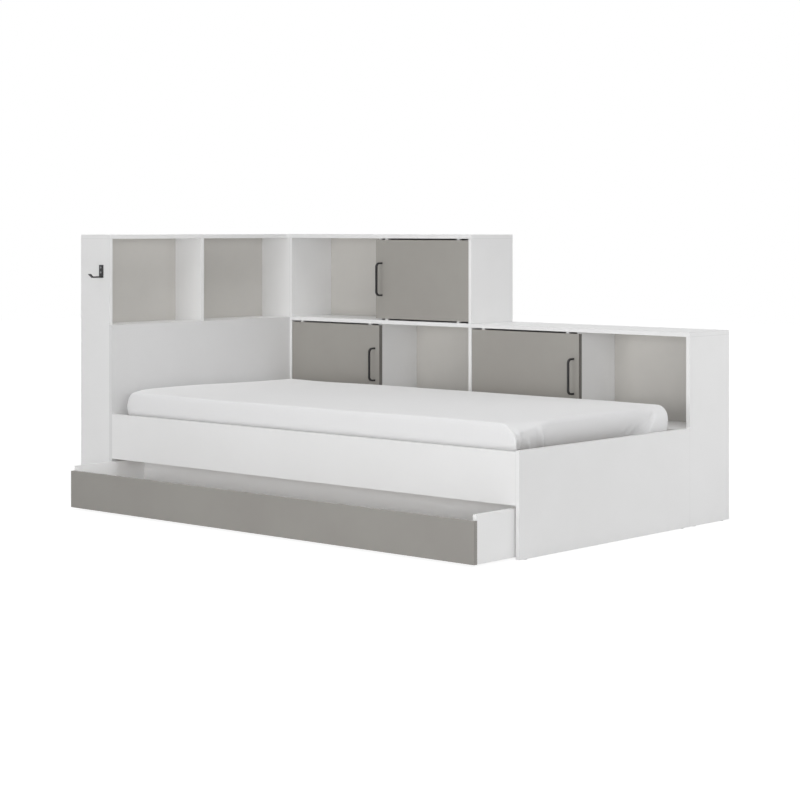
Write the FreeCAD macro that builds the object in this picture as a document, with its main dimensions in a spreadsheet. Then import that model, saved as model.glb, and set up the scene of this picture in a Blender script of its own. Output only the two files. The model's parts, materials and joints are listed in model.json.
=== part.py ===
import FreeCAD, Part
import Sketcher
import os
import re

# Storage bed: a shelf headboard, a bed box, a two-level storage unit along the wall with three sliding
# doors, and a long drawer on castors.  Lengths are in millimetres.
# +X runs from head to foot, +Y from the open front to the wall and +Z up.  The origin is on the floor,
# in the middle of the outline with the drawer pulled out as it stands in the room.

SIZES = {
    # Boards and back panels
    "board": 16,
    "back_panel": 3,
    "back_inset": 14,
    "back_groove": 6,
    "back_floor_gap": 32,
    "groove_clearance": 0.2,
    # Bed box and storage unit
    "unit_depth": 262,
    "base_level": 356,
    "bay_height": 339,
    "upper_width": 1036,
    "unit_gap": 10,
    "rail_height": 176,
    "footboard_rise": 5.5,
    # Headboard
    "head_depth": 175,
    "head_shelf_level": 708,
    # Sliding doors and their tracks
    "door_board": 18,
    "upper_door_width": 501,
    "left_door_width": 509.5,
    "right_door_width": 531,
    "door_setback": 1,
    "door_end_gap": 1,
    "door_gap": 6.5,
    "divider_clearance": 3,
    "divider_lap": 8,
    "track_width": 6,
    "track_depth": 5,
    "guide_length": 14,
    "guide_width": 12,
    "guide_tongue": 5,
    "guide_inset": 57,
    "run_clearance": 0.3,
    # Bow handles
    "handle_spacing": 133,
    "handle_bar": 7,
    "handle_reach": 37.5,
    "handle_round": 20,
    "handle_inset": 26,
    "upper_handle_inset": 33,
    "handle_thread": 8,
    # Coat hook
    "hook_width": 24,
    "hook_height": 51,
    "hook_plate": 3,
    "hook_arm": 12.5,
    "hook_bar": 6,
    "hook_flat": 47,
    "hook_reach": 65.5,
    "hook_tip": 16,
    "hook_lip": 7,
    "hook_round": 4,
    "hook_from_back": 127,
    "hook_level": 895,
    "hook_screw_spacing": 20,
    "hook_screw_drop": 10,
    # Slats and their bearers
    "mattress_sink": 56,
    "slat_count": 14,
    "slat_width": 68,
    "slat_thickness": 18,
    "slat_margin": 40,
    "slat_clearance": 3,
    "bearer_width": 30,
    "bearer_height": 40,
    "bearer_screw_count": 6,
    "bearer_screw_margin": 90,
    # Mattress
    "mattress_length": 2000,
    "mattress_width": 900,
    "mattress_height": 146,
    "mattress_crown": 6,
    "mattress_tuck": 9,
    "mattress_shoulder": 34,
    "mattress_end_round": 30,
    "mattress_side_gap": 6,
    "mattress_wall_gap": 60,
    "mattress_end_gap": 8,
    "mattress_head_gap": 32,
    "mattress_lift": 0.3,
    # Corner brackets
    "bracket_leg": 40,
    "bracket_height": 36,
    "bracket_sheet": 2,
    "bracket_drop": 10,
    # Screws
    "screw_diameter": 4,
    "screw_head": 8,
    "screw_head_height": 2.2,
    "screw_bite": 12,
    "screw_clearance": 0.1,
    # Floor glides
    "glide_height": 3,
    "glide_diameter": 14,
    "glide_inset": 40,
    # Drawer
    "drawer_pull": 209,
    "drawer_depth": 375,
    "drawer_gap": 4,
    "drawer_side_inset": 2,
    "drawer_floor_gap": 10,
    "drawer_finger_gap": 29,
    "drawer_top_gap": 10,
    "drawer_bottom": 8,
    "side_glide_length": 60,
    "side_glide_height": 40,
    "side_glide_level": 90,
    "side_glide_setback": 40,
    # Castors
    "wheel_diameter": 36,
    "wheel_width": 14,
    "wheel_round": 2,
    "wheel_side_clearance": 0.6,
    "axle_diameter": 6,
    "axle_clearance": 0.08,
    "castor_sheet": 2,
    "castor_length": 44,
    "castor_flange": 14,
    "castor_end_distance": 160,
    "castor_wall_distance": 50,
    "castor_cheek_drop": 8,
    "castor_headroom": 6,
}

# Named planes of the assembly, worked out from the sizes
LAYOUT = {
    "inner_length": "mattress_head_gap + mattress_length + mattress_end_gap",
    "bed_depth": "2 * board + mattress_side_gap + mattress_width + mattress_wall_gap",
    "x_head": "-(head_depth + 2 * board + inner_length) / 2",
    "x_case": "x_head + head_depth",
    "x_bed": "x_case + board",
    "x_foot": "x_bed + inner_length",
    "x_end": "x_foot + board",
    "x_upper": "x_case + upper_width",
    "x_pillar": "x_upper - board",
    "x_side": "x_case + unit_gap",
    "x_bay": "x_side + board",
    "x_head_back": "x_head + back_inset + back_panel",
    "y_front": "(drawer_pull - bed_depth - unit_depth) / 2",
    "y_rail": "y_front + board",
    "y_unit": "y_front + bed_depth",
    "y_bed_back": "y_unit - board",
    "y_wall": "y_unit + unit_depth",
    "y_back": "y_wall - back_inset - back_panel",
    "y_door": "y_unit + door_setback",
    "y_door_back": "y_door + door_board",
    "y_track": "y_door + door_board / 2",
    "y_divider": "y_door_back + divider_clearance",
    "z_low": "base_level + bay_height + board",
    "z_top": "z_low + bay_height + board",
    "z_slat": "base_level - mattress_sink",
    "z_bearer": "z_slat - slat_thickness",
    "z_bracket": "z_bearer - bearer_height - bracket_drop - bracket_height",
    "z_rail": "base_level - rail_height",
    "x_upper_door": "x_pillar - door_end_gap - upper_door_width",
    "x_left_door": "x_bay + door_end_gap",
    "x_right_door": "x_upper + door_end_gap",
    "x_drawer": "x_bed + drawer_gap",
    "x_drawer_end": "x_foot - drawer_gap",
    "x_drawer_side": "x_drawer + drawer_side_inset",
    "x_drawer_side_end": "x_drawer_end - drawer_side_inset",
    "y_drawer": "y_front - drawer_pull",
    "y_drawer_box": "y_drawer + board",
    "y_drawer_end": "y_drawer + drawer_depth",
    "z_drawer_side": "z_rail - drawer_top_gap",
    "z_drawer_front": "z_rail - drawer_finger_gap",
    "z_drawer_bottom": "wheel_diameter + castor_headroom + castor_sheet",
    "wheel_radius": "wheel_diameter / 2",
    "wheel_half": "wheel_width / 2",
    "cheek_inside": "wheel_half + wheel_side_clearance",
    "cheek_outside": "cheek_inside + castor_sheet",
}

doc = FreeCAD.newDocument("storage_bed")
dims = doc.addObject("Spreadsheet::Sheet", "Dims")
for row, (alias, number) in enumerate(SIZES.items(), start=1):
    dims.set(f"A{row}", alias)
    dims.set(f"B{row}", str(number))
    dims.setAlias(f"B{row}", alias)
doc.recompute()


def rule(text, own=()):
    """Expression in which every named size or plane carries its owner; own names stay bare."""
    def owned(word):
        name = word.group()
        if name in own:
            return name
        return ("Dims." if name in SIZES else "Layout.") + name
    return re.sub(r"[a-z]\w+", owned, text)


layout = doc.addObject("App::VarSet", "Layout")
for plane_name, plane_rule in LAYOUT.items():
    layout.addProperty("App::PropertyFloat", plane_name, "Planes")
    layout.setExpression(plane_name, rule(plane_rule, own=LAYOUT))
doc.recompute()

nodes = []
TURNS = {
    "+x": FreeCAD.Rotation(FreeCAD.Vector(0, 1, 0), 90),
    "-x": FreeCAD.Rotation(FreeCAD.Vector(0, 1, 0), -90),
    "+y": FreeCAD.Rotation(FreeCAD.Vector(1, 0, 0), -90),
    "-y": FreeCAD.Rotation(FreeCAD.Vector(1, 0, 0), 90),
    "+z": FreeCAD.Rotation(),
    "-z": FreeCAD.Rotation(FreeCAD.Vector(1, 0, 0), 180),
}
OPPOSITE = {"+x": "-x", "-x": "+x", "+y": "-y", "-y": "+y", "+z": "-z", "-z": "+z"}


def value(text):
    """Present value of a rule, for the starting geometry of sketches and soft forms."""
    return float(dims.evalExpression(rule(text)))


def node(piece):
    """Mark a finished piece as a sub-part of the bed."""
    nodes.append(piece)
    return piece


def put(piece, x, y, z):
    """Bind a piece's origin to three rules."""
    for axis, text in zip("xyz", (x, y, z)):
        piece.setExpression("Placement.Base." + axis, rule(text))


def block(name, x, y, z):
    """Rectangular block between two named planes along each axis."""
    box = doc.addObject("Part::Box", name)
    put(box, x[0], y[0], z[0])
    for side, span in zip(("Length", "Width", "Height"), (x, y, z)):
        box.setExpression(side, rule(f"({span[1]}) - ({span[0]})"))
    return box


def rod(name, axis, at, diameter, length):
    """Round bar of a given diameter that starts at a point and runs along an axis."""
    bar = doc.addObject("Part::Cylinder", name)
    bar.Placement = FreeCAD.Placement(FreeCAD.Vector(), TURNS[axis])
    put(bar, *at)
    bar.setExpression("Radius", rule(f"({diameter}) / 2"))
    bar.setExpression("Height", rule(length))
    return bar


def group(name, pieces):
    """Separate solids kept together as one sub-part or one cutting tool."""
    together = doc.addObject("Part::Compound", name)
    together.Links = pieces
    return together


def fuse(name, pieces):
    """One solid out of pieces that join."""
    solid = doc.addObject("Part::MultiFuse", name)
    solid.Shapes = pieces
    return solid


def cut(name, base, tools):
    """Base with every tool taken away."""
    result = doc.addObject("Part::Cut", name)
    result.Base = base
    result.Tool = tools[0] if len(tools) == 1 else group(name + "_tools", tools)
    return result


def panel(name, x, y, z, cuts=()):
    """Board between named planes, with its grooves and holes cut."""
    if not cuts:
        return node(block(name, x, y, z))
    return node(cut(name, block(name + "_blank", x, y, z), list(cuts)))


def screws(name, axis, seats, length):
    """Screws that share one sub-part, and the pilot holes that take them.

    A seat is the point under a head; the shank runs from it along the axis.
    """
    made = []
    pilots = []
    for count, seat in enumerate(seats):
        shank = rod(f"{name}_shank_{count}", axis, seat, "screw_diameter", length)
        head = rod(f"{name}_head_{count}", OPPOSITE[axis], seat, "screw_head", "screw_head_height")
        made.append(fuse(f"{name}_{count}", [shank, head]))
        pilots.append(rod(f"{name}_pilot_{count}", axis, seat, "screw_diameter + 2 * screw_clearance",
                          f"{length} + screw_clearance"))
    return made, pilots


def outline(body, name, role, corners):
    """Closed straight-sided sketch on an origin plane, each corner held by two rules."""
    sketch = body.newObject("Sketcher::SketchObject", name)
    plane = next(feature for feature in body.Origin.OriginFeatures if feature.Role == role)
    sketch.AttachmentSupport = [(plane, "")]
    sketch.MapMode = "FlatFace"
    points = [FreeCAD.Vector(value(u), value(v), 0) for u, v in corners]
    for index, start in enumerate(points):
        sketch.addGeometry(Part.LineSegment(start, points[(index + 1) % len(points)]), False)
    for index in range(len(points)):
        sketch.addConstraint(Sketcher.Constraint("Coincident", index, 2, (index + 1) % len(points), 1))
    for index, corner in enumerate(corners):
        for kind, axis, text in (("DistanceX", -2, corner[0]), ("DistanceY", -1, corner[1])):
            if text == "0":
                sketch.addConstraint(Sketcher.Constraint("PointOnObject", index, 1, axis))
                continue
            held = sketch.addConstraint(Sketcher.Constraint(kind, -1, 1, index, 1, value(text)))
            sketch.setExpression(f"Constraints[{held}]", rule(text))
    return sketch


def pad(body, name, sketch, length):
    """Pad of a sketch along its plane's normal."""
    feature = body.newObject("PartDesign::Pad", name)
    feature.Profile = sketch
    feature.setExpression("Length", rule(length))
    doc.recompute()
    return feature


def round_edges(body, name, feature, radius, chosen):
    """Fillet on the edges of a feature whose middle and direction pass a test."""
    edges = []
    for number, edge in enumerate(feature.Shape.Edges, start=1):
        middle = edge.valueAt((edge.FirstParameter + edge.LastParameter) / 2)
        run = edge.tangentAt((edge.FirstParameter + edge.LastParameter) / 2)
        if chosen(middle, run):
            edges.append(f"Edge{number}")
    fillet = body.newObject("PartDesign::Fillet", name)
    fillet.Base = (feature, edges)
    fillet.setExpression("Radius", rule(radius))
    doc.recompute()
    return fillet


def near(first, second):
    """True for two coordinates that are the same to a hundredth of a millimetre."""
    return abs(first - second) < 0.01


def grooved(name, x, y, z):
    """Thin back panel, and the groove that its neighbours have for it."""
    node(block(name, x, y, z))
    spans = [(low + " - groove_clearance", high + " + groove_clearance") for low, high in (x, y, z)]
    return block(name + "_groove", *spans)


def headboard():
    """Full-depth case of two open bays over a boxed lower part, faced towards the mattress."""
    z_under = "z_top - board"
    groove = grooved("headboard_back_panel", ("x_head + back_inset", "x_head_back"),
                     ("y_rail - back_groove", "y_wall - board + back_groove"),
                     ("back_floor_gap", z_under + " + back_groove"))
    hook_pilots = coat_hook()
    case_x = ("x_head", "x_case")
    inside_x = ("x_head_back", "x_case")
    full_z = ("glide_height", z_under)
    panel("headboard_front_side", case_x, ("y_front", "y_rail"), full_z, [groove] + hook_pilots)
    panel("headboard_rear_side", case_x, ("y_wall - board", "y_wall"), full_z, [groove])
    panel("headboard_top", case_x, ("y_front", "y_wall"), (z_under, "z_top"), [groove])
    panel("headboard_partition", ("x_head_back", "x_side"), ("y_unit", "y_unit + board"), full_z)
    panel("headboard_shelf", inside_x, ("y_rail", "y_unit"), ("head_shelf_level - board", "head_shelf_level"))
    middle = "(y_front + y_unit) / 2"
    panel("headboard_divider", inside_x, (middle + " - board / 2", middle + " + board / 2"),
          ("head_shelf_level", z_under))


def coat_hook():
    """Black hook on the outer side of the headboard; returns the holes for its screws."""
    body = doc.addObject("PartDesign::Body", "coat_hook_blank")
    inside = "hook_lip - hook_reach + (hook_tip - hook_bar) * (hook_reach - hook_flat) / hook_tip"
    arm = outline(body, "hook_arm_outline", "YZ_Plane", [
        ("0", "0"), ("-hook_flat", "0"), ("-hook_reach", "hook_tip"), ("hook_lip - hook_reach", "hook_tip"),
        (inside, "hook_bar"), ("0", "hook_bar")])
    strip = pad(body, "hook_arm_strip", arm, "hook_arm")
    flat = value("hook_flat")
    bar = value("hook_bar")
    inner = value(inside)
    bent = round_edges(body, "hook_outer_bend", strip, "hook_round + hook_bar / 2", lambda middle, run:
                       near(abs(run.x), 1) and near(middle.y, -flat) and near(middle.z, 0))
    round_edges(body, "hook_inner_bend", bent, "hook_round", lambda middle, run:
                near(abs(run.x), 1) and near(middle.y, inner) and near(middle.z, bar))
    left = "(hook_arm - hook_width) / 2"
    right = "(hook_arm + hook_width) / 2"
    plate = outline(body, "hook_plate_outline", "XZ_Plane", [
        (left, "0"), (right, "0"), (right, "hook_height"), (left, "hook_height")])
    pad(body, "hook_plate_sheet", plate, "hook_plate")
    centre = "x_head + hook_from_back"
    put(body, centre + " - hook_arm / 2", "y_front", "hook_level")
    high = "hook_level + hook_height - hook_screw_drop"
    seats = [(centre, "y_front - hook_plate", high + drop) for drop in ("", " - hook_screw_spacing")]
    made, pilots = screws("coat_hook_screw", "+y", seats, "hook_plate + screw_bite")
    node(cut("coat_hook", body, pilots))
    node(group("coat_hook_screws", made))
    return pilots


def track(name, x, z):
    """Groove that a door's guides run in, along the middle of the door's thickness."""
    return block(name, x, ("y_track - track_width / 2", "y_track + track_width / 2"), z)


def storage_unit():
    """Low unit along the whole bed and the upper unit that stands on its head half."""
    z_under_low = "z_low - board"
    z_under_top = "z_top - board"
    deep = ("y_unit", "y_wall")
    inside = ("y_unit", "y_back")
    behind_door = ("y_divider", "y_back")
    left_x = ("x_bay", "x_pillar")
    right_x = ("x_upper", "x_foot")
    left_side = ("x_side", "x_bay")
    upright = ("glide_height", z_under_low)
    thin = ("y_back", "y_back + back_panel")
    low_groove = grooved("low_back_panel", ("x_bay - back_groove", "x_foot + back_groove"), thin,
                         ("back_floor_gap", z_under_low + " + back_groove"))
    upper_groove = grooved("upper_back_panel", ("x_bay - back_groove", "x_pillar + back_groove"), thin,
                           ("z_low", z_under_top + " + back_groove"))
    above = ("z_low - track_depth", "z_low")
    under = (z_under_low, z_under_low + " + track_depth")
    low_tracks = [track("upper_floor_track", left_x, above), track("left_head_track", left_x, under),
                  track("right_head_track", right_x, under)]
    panel("low_left_side", left_side, deep, upright, [low_groove])
    panel("low_middle_side", ("x_pillar", "x_upper"), inside, upright)
    panel("low_end_side", ("x_foot", "x_end"), deep, upright, [low_groove])
    panel("low_top_board", ("x_side", "x_end"), deep, (z_under_low, "z_low"), [low_groove] + low_tracks)
    floor_z = ("base_level - board", "base_level")
    sunk = ("base_level - track_depth", "base_level")
    panel("left_bay_floor", left_x, inside, floor_z, [track("left_floor_track", left_x, sunk)])
    panel("right_bay_floor", right_x, inside, floor_z, [track("right_floor_track", right_x, sunk)])
    bay_z = ("base_level", z_under_low)
    left_edge = "x_left_door + left_door_width - divider_lap"
    right_edge = "x_right_door + right_door_width - divider_lap"
    panel("left_bay_divider", (left_edge + " - board", left_edge), behind_door, bay_z)
    panel("right_bay_divider", (right_edge + " - board", right_edge), behind_door, bay_z)
    upper_z = ("z_low", z_under_top)
    head_track = track("upper_head_track", left_x, (z_under_top, z_under_top + " + track_depth"))
    panel("upper_left_side", left_side, deep, upper_z, [upper_groove])
    panel("upper_right_side", ("x_pillar", "x_upper"), deep, upper_z, [upper_groove])
    panel("upper_top_board", ("x_case", "x_upper"), deep, (z_under_top, "z_top"), [upper_groove, head_track])
    panel("upper_divider", ("x_upper_door", "x_upper_door + board"), behind_door, upper_z)


def bow_handle(name, x, z):
    """Square bar bent into a D; its origin is the middle between the feet, on the door's face."""
    body = doc.addObject("PartDesign::Body", name + "_blank")
    tall = "(handle_spacing + handle_bar) / 2"
    slim = "(handle_spacing - handle_bar) / 2"
    inner = "handle_bar - handle_reach"
    bow = outline(body, name + "_outline", "YZ_Plane", [
        ("0", tall), ("-handle_reach", tall), ("-handle_reach", "-" + tall), ("0", "-" + tall),
        ("0", "-" + slim), (inner, "-" + slim), (inner, slim), ("0", slim)])
    bar = pad(body, name + "_bar", bow, "handle_bar")
    reach = value("handle_reach")
    bent = round_edges(body, name + "_outer_bends", bar, "handle_round", lambda middle, run:
                       near(abs(run.x), 1) and near(middle.y, -reach))
    inner_face = value(inner)
    round_edges(body, name + "_inner_bends", bent, "handle_round - handle_bar", lambda middle, run:
                near(abs(run.x), 1) and near(middle.y, inner_face))
    put(body, x + " - handle_bar / 2", "y_door", z)
    return body


def sliding_door(name, x, width, floor, handle_x):
    """Door panel with its bow handle, the handle's screws and four track guides."""
    z_low = floor + " + door_gap"
    z_high = floor + " + bay_height - door_gap"
    centre = floor + " + bay_height / 2"
    bow = bow_handle(name + "_handle", handle_x, centre)
    seats = [(handle_x, "y_door_back", centre + " + handle_spacing / 2"),
             (handle_x, "y_door_back", centre + " - handle_spacing / 2")]
    made, pilots = screws(name + "_handle_screw", "-y", seats, "door_board + handle_thread")
    panel(name + "_panel", (x, x + " + " + width), ("y_door", "y_door_back"), (z_low, z_high), pilots)
    node(cut(name + "_handle", bow, pilots))
    node(group(name + "_handle_screws", made))
    guides = []
    for end, middle in (("left", x + " + guide_inset"), ("right", x + " + " + width + " - guide_inset")):
        along = (middle + " - guide_length / 2", middle + " + guide_length / 2")
        wide = ("y_track - guide_width / 2", "y_track + guide_width / 2")
        slim = ("y_track - guide_tongue / 2", "y_track + guide_tongue / 2")
        for edge, shoe_z, tongue_z in (
                ("floor", (floor + " + run_clearance", z_low),
                 (floor + " - track_depth + run_clearance", floor + " + run_clearance")),
                ("head", (z_high, floor + " + bay_height - run_clearance"),
                 (floor + " + bay_height - run_clearance",
                  floor + " + bay_height + track_depth - run_clearance"))):
            shoe = block(f"{name}_{end}_{edge}_shoe", along, wide, shoe_z)
            tongue = block(f"{name}_{end}_{edge}_tongue", along, slim, tongue_z)
            guides.append(fuse(f"{name}_{end}_{edge}_guide", [shoe, tongue]))
    node(group(name + "_guides", guides))


def sliding_doors():
    """Upper door at the foot half of its bay, both lower doors at the head half of theirs."""
    sliding_door("upper_door", "x_upper_door", "upper_door_width", "z_low",
                 "x_upper_door + upper_handle_inset")
    sliding_door("left_door", "x_left_door", "left_door_width", "base_level",
                 "x_left_door + left_door_width - handle_inset")
    sliding_door("right_door", "x_right_door", "right_door_width", "base_level",
                 "x_right_door + right_door_width - handle_inset")


def bed_box():
    """Rail, footboard, rear panel and headboard facing, with slat bearers and corner brackets."""
    length = ("x_bed", "x_foot")
    bearer_z = ("z_bearer - bearer_height", "z_bearer")
    bearer_screws = []
    bracket_solids = []
    bracket_screws = []
    wall_pilots = {"front": [], "rear": [], "head": [], "foot": []}
    count = int(value("bearer_screw_count"))
    step = f"(inner_length - 2 * bearer_screw_margin) / {count - 1}"
    for side, wall, way in (("front", "y_rail", 1), ("rear", "y_bed_back", -1)):
        inner = f"{wall} + {way} * bearer_width"
        seats = [(f"x_bed + bearer_screw_margin + {k} * {step}", inner, "z_bearer - bearer_height / 2")
                 for k in range(count)]
        made, pilots = screws(side + "_bearer_screw", "-y" if way > 0 else "+y", seats,
                              "bearer_width + screw_bite")
        span = (wall, inner) if way > 0 else (inner, wall)
        panel(side + "_slat_bearer", length, span, bearer_z, pilots)
        bearer_screws += made
        wall_pilots[side] += pilots
    for end, end_plane, end_way in (("head", "x_bed", 1), ("foot", "x_foot", -1)):
        for side, wall, way in (("front", "y_rail", 1), ("rear", "y_bed_back", -1)):
            name = f"{end}_{side}_bracket"
            solid, made, holes = corner_bracket(name, end_plane, end_way, wall, way)
            bracket_solids.append(solid)
            bracket_screws += made
            wall_pilots[side].append(holes[0])
            wall_pilots[end].append(holes[1])
    rail_z = ("z_rail", "base_level")
    stand_z = ("glide_height", "base_level")
    across = ("y_front", "y_unit")
    panel("front_rail", length, ("y_front", "y_rail"), rail_z, wall_pilots["front"])
    panel("rear_panel", length, ("y_bed_back", "y_unit"), stand_z, wall_pilots["rear"])
    panel("footboard", ("x_foot", "x_end"), across, ("glide_height", "base_level + footboard_rise"),
          wall_pilots["foot"])
    panel("headboard_facing", ("x_case", "x_bed"), across, ("glide_height", "head_shelf_level"),
          wall_pilots["head"])
    node(group("bearer_screws", bearer_screws))
    node(group("corner_brackets", bracket_solids))
    node(group("bracket_screws", bracket_screws))


def corner_bracket(name, end_plane, end_way, wall, way):
    """Sheet angle in one corner of the bed box, its two screws and their holes."""
    def span(plane, sign, size):
        reach = f"{plane} + {sign} * {size}"
        return (plane, reach) if sign > 0 else (reach, plane)
    tall = ("z_bracket", "z_bracket + bracket_height")
    middle = "z_bracket + bracket_height / 2"
    along = block(name + "_rail_leg", span(end_plane, end_way, "bracket_leg"),
                  span(wall, way, "bracket_sheet"), tall)
    across = block(name + "_end_leg", span(end_plane, end_way, "bracket_sheet"),
                   span(wall, way, "bracket_leg"), tall)
    hole = "(bracket_leg + bracket_sheet) / 2"
    rail_seat = (f"{end_plane} + {end_way} * {hole}", f"{wall} + {way} * bracket_sheet", middle)
    end_seat = (f"{end_plane} + {end_way} * bracket_sheet", f"{wall} + {way} * {hole}", middle)
    length = "bracket_sheet + screw_bite"
    rail_screw, rail_hole = screws(name + "_rail_screw", "-y" if way > 0 else "+y", [rail_seat], length)
    end_screw, end_hole = screws(name + "_end_screw", "-x" if end_way > 0 else "+x", [end_seat], length)
    angle = cut(name, fuse(name + "_angle", [along, across]), rail_hole + end_hole)
    return angle, rail_screw + end_screw, rail_hole + end_hole


def slats():
    """Flat slats spread evenly over the bed's length, resting on the bearers."""
    count = int(value("slat_count"))
    pitch = f"(inner_length - 2 * slat_margin - slat_width) / {count - 1}"
    laid = []
    for k in range(count):
        start = f"x_bed + slat_margin + {k} * {pitch}"
        laid.append(block(f"slat_{k}", (start, start + " + slat_width"),
                          ("y_rail + slat_clearance", "y_bed_back - slat_clearance"), ("z_bearer", "z_slat")))
    node(group("slats", laid))


def mattress_section(x, inset):
    """Closed outline across the mattress: flat base, bulged sides, round shoulders and a crowned top."""
    half = value("mattress_width") / 2 - inset
    tuck = value("mattress_tuck")
    shoulder = value("mattress_shoulder")
    top = value("mattress_height") - inset
    crest = top + value("mattress_crown")
    swing = shoulder * 0.5 ** 0.5

    def at(y, z):
        return FreeCAD.Vector(x, y, z)

    foot = half - tuck
    side = half - tuck / 3
    edges = [Part.LineSegment(at(-foot, 0), at(foot, 0)),
             Part.Arc(at(foot, 0), at(half, (top - shoulder) / 2), at(side, top - shoulder)),
             Part.Arc(at(side, top - shoulder), at(side - shoulder + swing, top - shoulder + swing),
                      at(side - shoulder, top)),
             Part.Arc(at(side - shoulder, top), at(0, crest), at(shoulder - side, top)),
             Part.Arc(at(shoulder - side, top), at(shoulder - side - swing, top - shoulder + swing),
                      at(-side, top - shoulder)),
             Part.Arc(at(-side, top - shoulder), at(-half, (top - shoulder) / 2), at(-foot, 0))]
    return Part.Wire([edge.toShape() for edge in edges])


def mattress():
    """Soft block lofted along the bed, with drawn-in ends."""
    half = value("mattress_length") / 2
    ease = value("mattress_end_round")
    stations = [(-half, ease), (ease * 0.3 - half, ease * 0.45), (ease - half, 0)]
    stations += [(-x, inset) for x, inset in reversed(stations)]
    piece = doc.addObject("Part::Feature", "mattress")
    piece.Shape = Part.makeLoft([mattress_section(x, inset) for x, inset in stations], True, True)
    put(piece, "x_foot - mattress_end_gap - mattress_length / 2",
        "y_rail + mattress_side_gap + mattress_width / 2", "z_slat + mattress_lift")
    node(piece)


def floor_glides():
    """Plastic glides under the boards that stand on the floor."""
    head = "x_head + glide_inset"
    case = "x_case - glide_inset"
    near_wall = "y_wall - glide_inset"
    spots = [(head, "y_front + board / 2"), (case, "y_front + board / 2"),
             (head, "y_wall - board / 2"), (case, "y_wall - board / 2")]
    for column in ("x_side + board / 2", "x_pillar + board / 2", "x_foot + board / 2"):
        spots += [(column, "y_unit + glide_inset"), (column, near_wall)]
    for column in ("x_case + board / 2", "x_foot + board / 2"):
        spots += [(column, "y_front + glide_inset"), (column, "y_unit - glide_inset")]
    discs = [rod(f"floor_glide_{k}", "+z", spot + ("0",), "glide_diameter", "glide_height")
             for k, spot in enumerate(spots)]
    node(group("floor_glides", discs))


def drawer():
    """Long box with a lower front, on four hidden castors."""
    full = ("x_drawer", "x_drawer_end")
    box_z = ("drawer_floor_gap", "z_drawer_side")
    inside_x = ("x_drawer_side + board", "x_drawer_side_end - board")
    inside_y = ("y_drawer_box", "y_drawer_end - board")
    sides_y = ("y_drawer_box", "y_drawer_end")
    panel("drawer_front", full, ("y_drawer", "y_drawer_box"),
          ("drawer_floor_gap", "z_drawer_front"))
    panel("drawer_left_side", ("x_drawer_side", "x_drawer_side + board"), sides_y, box_z)
    panel("drawer_right_side", ("x_drawer_side_end - board", "x_drawer_side_end"), sides_y, box_z)
    panel("drawer_back", inside_x, ("y_drawer_end - board", "y_drawer_end"), box_z)
    pilots = castors()
    panel("drawer_bottom", inside_x, inside_y,
          ("z_drawer_bottom", "z_drawer_bottom + drawer_bottom"), pilots)
    glides = []
    thick = "drawer_gap + drawer_side_inset - run_clearance"
    for end, span in (("head", ("x_bed", "x_bed + " + thick)), ("foot", (f"x_foot - ({thick})", "x_foot"))):
        start = "y_front + side_glide_setback"
        glides.append(block(f"{end}_side_glide", span, (start, start + " + side_glide_length"),
                            ("side_glide_level", "side_glide_level + side_glide_height")))
    node(group("drawer_side_glides", glides))


def castors():
    """Fixed castors at the drawer's corners; returns the screw holes for the drawer's bottom."""
    housings = []
    axles = []
    fixings = []
    pilots = []
    for depth, y in (("front", "y_drawer_box + castor_wall_distance"),
                     ("rear", "y_drawer_end - board - castor_wall_distance")):
        for end, x in (("left", "x_drawer_side + castor_end_distance"),
                       ("right", "x_drawer_side_end - castor_end_distance")):
            name = f"castor_{depth}_{end}"
            under = "z_drawer_bottom - castor_sheet"
            seats = [(f"{x} + {way} * (cheek_outside + castor_flange / 2)", y, under) for way in (-1, 1)]
            made, holes = screws(name + "_screw", "+z", seats, "castor_sheet + drawer_bottom / 2")
            axle_start = (f"{x} - cheek_outside", y, "wheel_radius")
            length = "2 * cheek_outside"
            bore = rod(name + "_bore", "+x", axle_start, "axle_diameter + 2 * axle_clearance", length)
            axles.append(rod(name + "_axle", "+x", axle_start, "axle_diameter", length))
            housings.append(castor_housing(name, x, y, under, holes + [bore]))
            fixings += made
            pilots += holes
            wheel(f"castor_wheel_{depth}_{end}", x, y)
    node(group("castor_housings", housings))
    node(group("castor_axles", axles))
    node(group("castor_screws", fixings))
    return pilots


def castor_housing(name, x, y, under, holes):
    """Pressed bracket: a flanged plate with a cheek on each side of the wheel."""
    along = (f"{y} - castor_length / 2", f"{y} + castor_length / 2")
    width = "(cheek_outside + castor_flange)"
    across = (f"{x} - {width}", f"{x} + {width}")
    plate = block(name + "_plate", across, along, (under, "z_drawer_bottom"))
    drop = ("wheel_radius - castor_cheek_drop", under)
    left = block(name + "_left_cheek", (f"{x} - cheek_outside", f"{x} - cheek_inside"), along, drop)
    right = block(name + "_right_cheek", (f"{x} + cheek_inside", f"{x} + cheek_outside"), along, drop)
    return cut(name + "_housing", fuse(name + "_bracket", [plate, left, right]), holes)


def wheel(name, x, y):
    """Solid castor wheel turned about its axle."""
    body = doc.addObject("PartDesign::Body", name)
    hub = "axle_diameter / 2 + axle_clearance"
    profile = outline(body, name + "_profile", "XY_Plane", [
        ("-wheel_half", hub), ("wheel_half", hub),
        ("wheel_half", "wheel_radius"), ("-wheel_half", "wheel_radius")])
    turned = body.newObject("PartDesign::Revolution", name + "_turned")
    turned.Profile = profile
    turned.ReferenceAxis = (profile, ["H_Axis"])
    turned.Angle = 360
    doc.recompute()
    rim = value("wheel_radius")
    round_edges(body, name + "_tread", turned, "wheel_round", lambda middle, run:
                abs(run.x) < 0.5 and near((middle.y ** 2 + middle.z ** 2) ** 0.5, rim))
    put(body, x, y, "wheel_radius")
    node(body)


headboard()
storage_unit()
sliding_doors()
bed_box()
slats()
mattress()
floor_glides()
drawer()
doc.recompute()

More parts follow.
